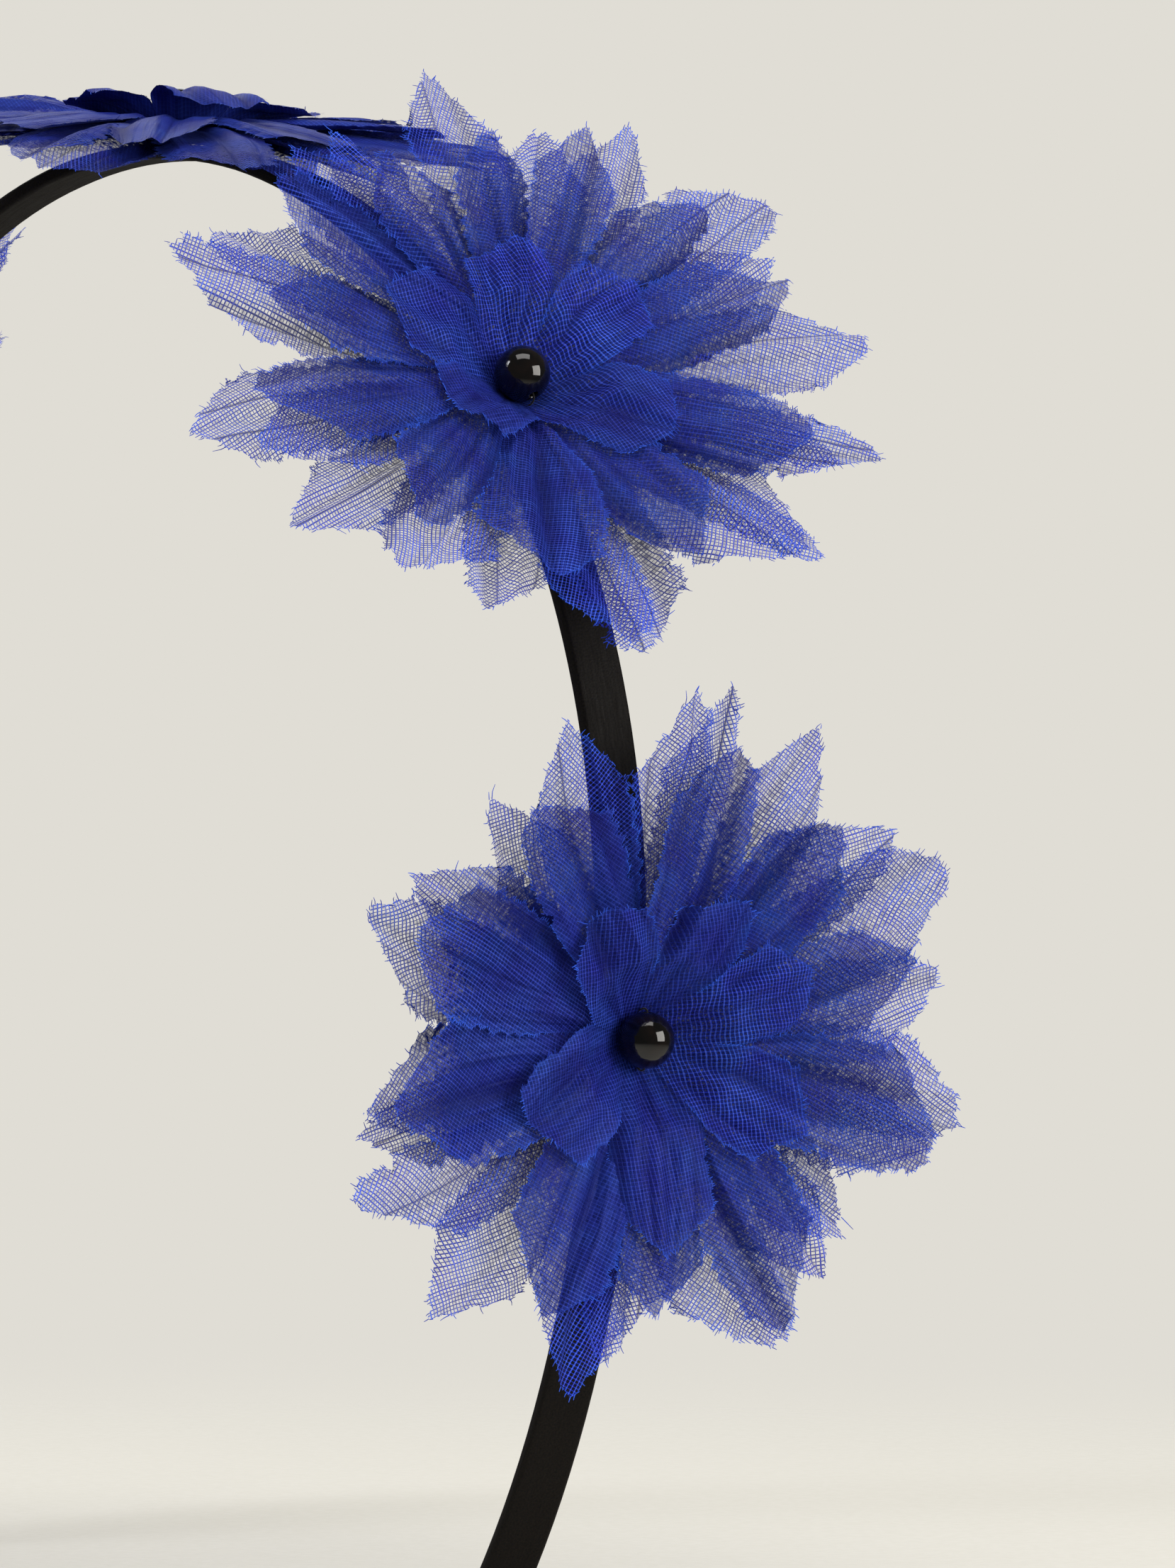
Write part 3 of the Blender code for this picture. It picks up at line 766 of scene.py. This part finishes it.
def bandSection(width):
    # a rounded rectangle, with the ribbon's own edge as a step on the inner face
    half = width / 2
    deep = band["thickness"] / 2
    corner = min(band["corner"], half * 0.8)
    points = []
    for acrossSign, outSign, start in ((1, 1, 0), (-1, 1, 90), (-1, -1, 180), (1, -1, 270)):
        for step in range(5):
            turn = math.radians(start + 22.5 * step)
            points.append(Vector((
                acrossSign * (half - corner) + corner * math.cos(turn), 0.0,
                outSign * (deep - corner) + corner * math.sin(turn))))
    middles = [Vector((share * (half - corner), 0.0, deep)) for share in (0.5, 0.0, -0.5)]
    points[5:5] = middles
    seam = band["seamPlace"] * width / band["width"]
    back = [
        Vector((-0.5 * (half - corner), 0.0, -deep)),
        Vector((seam - 0.05, 0.0, -deep)),
        Vector((seam, 0.0, -deep + band["seamStep"])),
        Vector((seam + 0.5, 0.0, -deep + band["seamStep"] * 0.7)),
    ]
    points[18:18] = back
    return points


def makeBand(material):
    shape = bmesh.new()
    ribbon = shape.loops.layers.uv.new("ribbon")
    count = len(bandSection(band["width"]))
    stations = [2 * step / band["stations"] - 1 for step in range(1, band["stations"])]
    ends = [place for place, width in band["tip"][1:]]
    stations = [place for place in stations if abs(place) < ends[0]]
    stations = [-place for place in reversed(ends)] + stations + ends
    up = len(stations) - 1
    grid = bmesh.ops.create_grid(shape, x_segments=count, y_segments=up, size=1.0)["verts"]
    travelled = [0.0]
    for before, after in zip(stations, stations[1:]):
        start, end = (bandFrame(place * band["endAngle"]).translation for place in (before, after))
        travelled.append(travelled[-1] + (end - start).length)
    places = {}
    for vert in grid:
        column = round((vert.co.x + 1) / 2 * count)
        row = round((vert.co.y + 1) / 2 * up)
        width = band["width"] * readBetween(band["tip"], abs(stations[row]))
        section = bandSection(width)
        girth = sum((section[(step + 1) % count] - section[step]).length for step in range(column))
        places[vert] = (travelled[row], girth)
        vert.co = bandFrame(stations[row] * band["endAngle"]) @ section[column % count]
    layUv(grid, ribbon, places)
    bmesh.ops.remove_doubles(shape, verts=grid, dist=0.001)
    rims = [edge for edge in shape.edges if edge.is_boundary]
    bmesh.ops.holes_fill(shape, edges=rims, sides=0)
    bmesh.ops.recalc_face_normals(shape, faces=shape.faces)
    shape.transform(Matrix.Scale(mm, 4))
    return finishPiece(shape, "band_satin", material, ["band"])


satinFinish = satinMaterial()
bandPiece = makeBand(satinFinish)
bandPiece.data.set_sharp_from_angle(angle=math.radians(38))
print("band covered")


# Bead: pressed black glass, fire polished, so it mirrors the lights with clean edges
bead = {
    "radius": 3.0,
    "bore": 0.45,
    "lip": 0.18,               # the worn rim of the bore
    "gap": 0.3,                # between the band and the bead
    "thread": 0.1,
    "segments": 48,
    "rows": 24,
}


def glassMaterial():
    material, tree, shader = startMaterial(
        "pressedBlackGlass", IOR=1.5, Specular_IOR_Level=0.45, Coat_Weight=0.25, Coat_Roughness=0.03)
    place = addNode(tree, "ShaderNodeTexCoord").outputs["Object"]
    swirl = addNode(tree, "ShaderNodeTexNoise", {
        "Vector": place, "Scale": 420.0, "Detail": 2.0, "Distortion": 0.8})
    swirled = addNode(tree, "ShaderNodeMapRange", {
        "Value": swirl.outputs["Fac"], "From Min": 0.4, "From Max": 0.7}).outputs["Result"]
    tone = addNode(tree, "ShaderNodeMix", {
        "Factor": swirled, "A": linear("#040405"), "B": linear("#120B09")}, data_type="RGBA")
    tree.links.new(tone.outputs["Result"], shader.inputs["Base Color"])
    dull = addNode(tree, "ShaderNodeTexNoise", {"Vector": place, "Scale": 1500.0, "Detail": 3.0})
    dull = addNode(tree, "ShaderNodeMapRange", {
        "Value": dull.outputs["Fac"], "From Min": 0.45, "From Max": 0.8, "To Min": 0.04, "To Max": 0.16})
    tree.links.new(dull.outputs["Result"], shader.inputs["Roughness"])
    bump = addNode(tree, "ShaderNodeBump", {
        "Height": swirl.outputs["Fac"], "Strength": 0.12, "Distance": 0.00008})
    tree.links.new(bump.outputs["Normal"], shader.inputs["Normal"])
    return material


# Sewing thread: black spun polyester in two plies, dull and slightly hairy
def threadMaterial():
    material, tree, shader = startMaterial(
        "blackSewingThread", Roughness=0.75, Specular_IOR_Level=0.25, Sheen_Weight=0.2)
    place = addNode(tree, "ShaderNodeUVMap", uv_map="ply").outputs["UV"]
    ply = addNode(tree, "ShaderNodeTexWave", {"Vector": place, "Scale": 1.0, "Distortion": 0.3},
                  wave_type="BANDS", bands_direction="DIAGONAL")
    tone = addNode(tree, "ShaderNodeMix", {
        "Factor": ply.outputs["Fac"], "A": linear("#040404"), "B": linear("#171513")}, data_type="RGBA")
    tree.links.new(tone.outputs["Result"], shader.inputs["Base Color"])
    bump = addNode(tree, "ShaderNodeBump", {
        "Height": ply.outputs["Fac"], "Strength": 0.6, "Distance": 0.00004})
    tree.links.new(bump.outputs["Normal"], shader.inputs["Normal"])
    return material


def makeBead(flower, material):
    # half of the outline, from lip to lip, is spun round the bore
    radius, bore, lip = bead["radius"], bead["bore"], bead["lip"]
    start = math.asin((bore + lip) / radius)
    outline = [Vector((bore, 0.0, -radius * math.cos(start) + lip * 1.2))]
    outline.append(Vector((bore + lip * 0.3, 0.0, -radius * math.cos(start) + lip * 0.3)))
    for step in range(bead["rows"] + 1):
        turn = start + (math.pi - 2 * start) * step / bead["rows"]
        outline.append(Vector((radius * math.sin(turn), 0.0, -radius * math.cos(turn))))
    outline.append(Vector((bore + lip * 0.3, 0.0, radius * math.cos(start) - lip * 0.3)))
    outline.append(Vector((bore, 0.0, radius * math.cos(start) - lip * 1.2)))
    shape = bmesh.new()
    verts = [shape.verts.new(point) for point in outline]
    edges = [shape.edges.new(pair) for pair in zip(verts, verts[1:] + verts[:1])]
    bmesh.ops.spin(shape, geom=verts + edges, cent=(0, 0, 0), axis=(0, 0, 1), angle=math.tau,
                   steps=bead["segments"], use_merge=True)
    bmesh.ops.recalc_face_normals(shape, faces=shape.faces)
    height = band["thickness"] / 2 + bead["gap"] + radius
    seat = Matrix.Translation((0, 0, height)) @ Matrix.Rotation(math.radians(90), 4, "X")
    shape.transform(flowerFrame(flower) @ seat)
    piece = finishPiece(shape, f"{flower['name']}_bead_glass", material, [f"{flower['name']}_bead"])
    piece.data.set_sharp_from_angle(angle=math.radians(50))
    return piece


def makeStitch(flower, material):
    # the thread comes out of the bore and goes down through the cloth on both sides
    height = band["thickness"] / 2 + bead["gap"] + bead["radius"]
    half = [(0.0, height), (1.6, height), (2.8, height - 0.02), (3.12, height - 0.16), (3.26, height - 0.55),
            (3.22, height - 1.1), (3.02, height - 1.7), (2.6, height - 2.3), (2.0, height - 2.9)]
    path = [Vector((0.0, -y, z)) for y, z in reversed(half[1:])] + [Vector((0.0, y, z)) for y, z in half]
    sides = 8
    shape = bmesh.new()
    ply = shape.loops.layers.uv.new("ply")
    grid = bmesh.ops.create_grid(shape, x_segments=sides, y_segments=len(path) - 1, size=1.0)["verts"]
    places = {}
    travelled = [0.0]
    for before, after in zip(path, path[1:]):
        travelled.append(travelled[-1] + (after - before).length)
    for vert in grid:
        column = round((vert.co.x + 1) / 2 * sides)
        row = round((vert.co.y + 1) / 2 * (len(path) - 1))
        along = (path[min(row + 1, len(path) - 1)] - path[max(row - 1, 0)]).normalized()
        side = Vector((1.0, 0.0, 0.0))
        up = along.cross(side)
        turn = math.tau * column / sides
        places[vert] = (travelled[row] * 2.0, column / sides * 2.0)
        vert.co = path[row] + (side * math.cos(turn) + up * math.sin(turn)) * bead["thread"]
    layUv(grid, ply, places)
    bmesh.ops.remove_doubles(shape, verts=grid, dist=0.0005)
    bmesh.ops.holes_fill(shape, edges=[edge for edge in shape.edges if edge.is_boundary], sides=0)
    bmesh.ops.recalc_face_normals(shape, faces=shape.faces)
    shape.transform(flowerFrame(flower))
    return finishPiece(shape, f"{flower['name']}_bead_thread", material)


glassFinish = glassMaterial()
threadFinish = threadMaterial()
for flower in flowers:
    makeBead(flower, glassFinish)
    makeStitch(flower, threadFinish)
print("beads sewn on")


# Stage: a pale paper floor in a pale plain room, soft lights, and the camera of the photograph
stage = {
    "target": (33.81, 33.81, -69.26),
    "distance": 900.0,
    "azimuth": 45.0,
    "lens": 185.9,
    "floor": -158.4,
    "paper": "#DDDBD3",
    "fibre": "#E1DFD8",
    "floorRadius": 450.0,
    "fadeFrom": 120.0,         # where the floor starts to melt into the room, and ends
    "fadeTo": 420.0,
    "room": "#E0DDD5",
    "roomLight": "#E9E7E0",
    "fill": 0.78,              # the room's light in the shadows of cloth, and mirrored in glass
    "mirrored": 0.12,
}
turn = math.radians(stage["azimuth"])
toCamera = Vector((math.sin(turn), -math.cos(turn), 0.0))
toRight = Vector((math.cos(turn), math.sin(turn), 0.0))
toTop = Vector((0.0, 0.0, 1.0))
target = Vector(stage["target"]) * mm


def paperMaterial():
    material, tree, shader = startMaterial("mattePaper", Roughness=0.9, Specular_IOR_Level=0.15)
    place = addNode(tree, "ShaderNodeTexCoord").outputs["Object"]
    fibre = addNode(tree, "ShaderNodeTexNoise", {"Vector": place, "Scale": 900.0, "Detail": 3.0})
    mottled = addNode(tree, "ShaderNodeMapRange", {
        "Value": fibre.outputs["Fac"], "From Min": 0.3, "From Max": 0.7}).outputs["Result"]
    tone = addNode(tree, "ShaderNodeMix", {
        "Factor": mottled, "A": linear(stage["paper"]), "B": linear(stage["fibre"])}, data_type="RGBA")
    tree.links.new(tone.outputs["Result"], shader.inputs["Base Color"])
    away = addNode(tree, "ShaderNodeVectorMath", {0: place}, operation="LENGTH").outputs["Value"]
    fade = addNode(tree, "ShaderNodeMapRange", {
        "Value": away, "From Min": stage["fadeFrom"] * mm, "From Max": stage["fadeTo"] * mm,
        "To Min": 1.0, "To Max": 0.0}, interpolation_type="SMOOTHSTEP")
    tree.links.new(fade.outputs["Result"], shader.inputs["Alpha"])
    return material


def makeFloor():
    shape = bmesh.new()
    bmesh.ops.create_circle(shape, cap_ends=True, segments=96, radius=stage["floorRadius"] * mm)
    bmesh.ops.recalc_face_normals(shape, faces=shape.faces)
    bmesh.ops.translate(shape, verts=shape.verts, vec=(0.0, 0.0, stage["floor"] * mm))
    floor = addMesh(shape, "paperFloor", paperMaterial())


# each lamp's place from the target, in metres: to the right, towards the camera and up
lamps = [
    {"name": "sideSoftbox", "right": 0.90, "front": 0.50, "up": 0.22, "width": 0.62, "height": 0.62,
     "watts": 7.5, "colour": "#FFFBF4"},
    {"name": "overheadSoftbox", "right": 0.05, "front": 0.36, "up": 1.15, "width": 0.9, "height": 0.5,
     "watts": 4.6, "colour": "#FFFDFA"},
    {"name": "leftStrip", "right": -0.80, "front": 0.28, "up": 0.56, "width": 0.2, "height": 0.34,
     "watts": 2.4, "colour": "#F7F9FF"},
    {"name": "backFill", "right": -0.3, "front": -0.9, "up": 0.5, "width": 0.7, "height": 0.7,
     "watts": 2.0, "colour": "#FBFCFF"},
]


def hangLamp(lamp):
    light = bpy.data.lights.new(lamp["name"], "AREA")
    light.shape = "RECTANGLE"
    light.size = lamp["width"]
    light.size_y = lamp["height"]
    light.energy = lamp["watts"]
    light.color = linear(lamp["colour"])[:3]
    hung = addObject(lamp["name"], light)
    hung.visible_camera = False
    hung.location = target + toRight * lamp["right"] + toCamera * lamp["front"] + toTop * lamp["up"]
    hung.rotation_euler = (hung.location - target).to_track_quat("Z", "Y").to_euler()


makeFloor()
for lamp in lamps:
    hangLamp(lamp)

# the pale room fills the cloth's shadows softly, and is dimmer where glass and satin mirror it
world = bpy.data.worlds.new("paleRoom")
world.use_nodes = True
tree = world.node_tree
lighting = tree.nodes["Background"]
lighting.inputs["Color"].default_value = linear(stage["roomLight"])
ray = addNode(tree, "ShaderNodeLightPath")
fill = addNode(tree, "ShaderNodeMapRange", {
    "Value": ray.outputs["Is Diffuse Ray"], "To Min": stage["mirrored"], "To Max": stage["fill"]})
tree.links.new(fill.outputs["Result"], lighting.inputs["Strength"])
seen = addNode(tree, "ShaderNodeBackground", {"Color": linear(stage["room"]), "Strength": 1.0})
room = addNode(tree, "ShaderNodeMixShader", {"Fac": ray.outputs["Is Camera Ray"]})
tree.links.new(lighting.outputs["Background"], room.inputs[1])
tree.links.new(seen.outputs["Background"], room.inputs[2])
tree.links.new(room.outputs["Shader"], tree.nodes["World Output"].inputs["Surface"])
bpy.context.scene.world = world

camera = bpy.data.cameras.new("photoCamera")
camera.sensor_fit = "VERTICAL"
camera.sensor_height = 36.0
camera.lens = stage["lens"]
camera.clip_start = 0.05
camera.clip_end = 20.0
viewer = addObject("photoCamera", camera)
viewer.location = target + toCamera * stage["distance"] * mm
viewer.rotation_euler = toCamera.to_track_quat("Z", "Y").to_euler()
bpy.context.scene.camera = viewer
bpy.context.scene.view_settings.view_transform = "Standard"
bpy.context.scene.view_settings.look = "None"
print("stage lit")
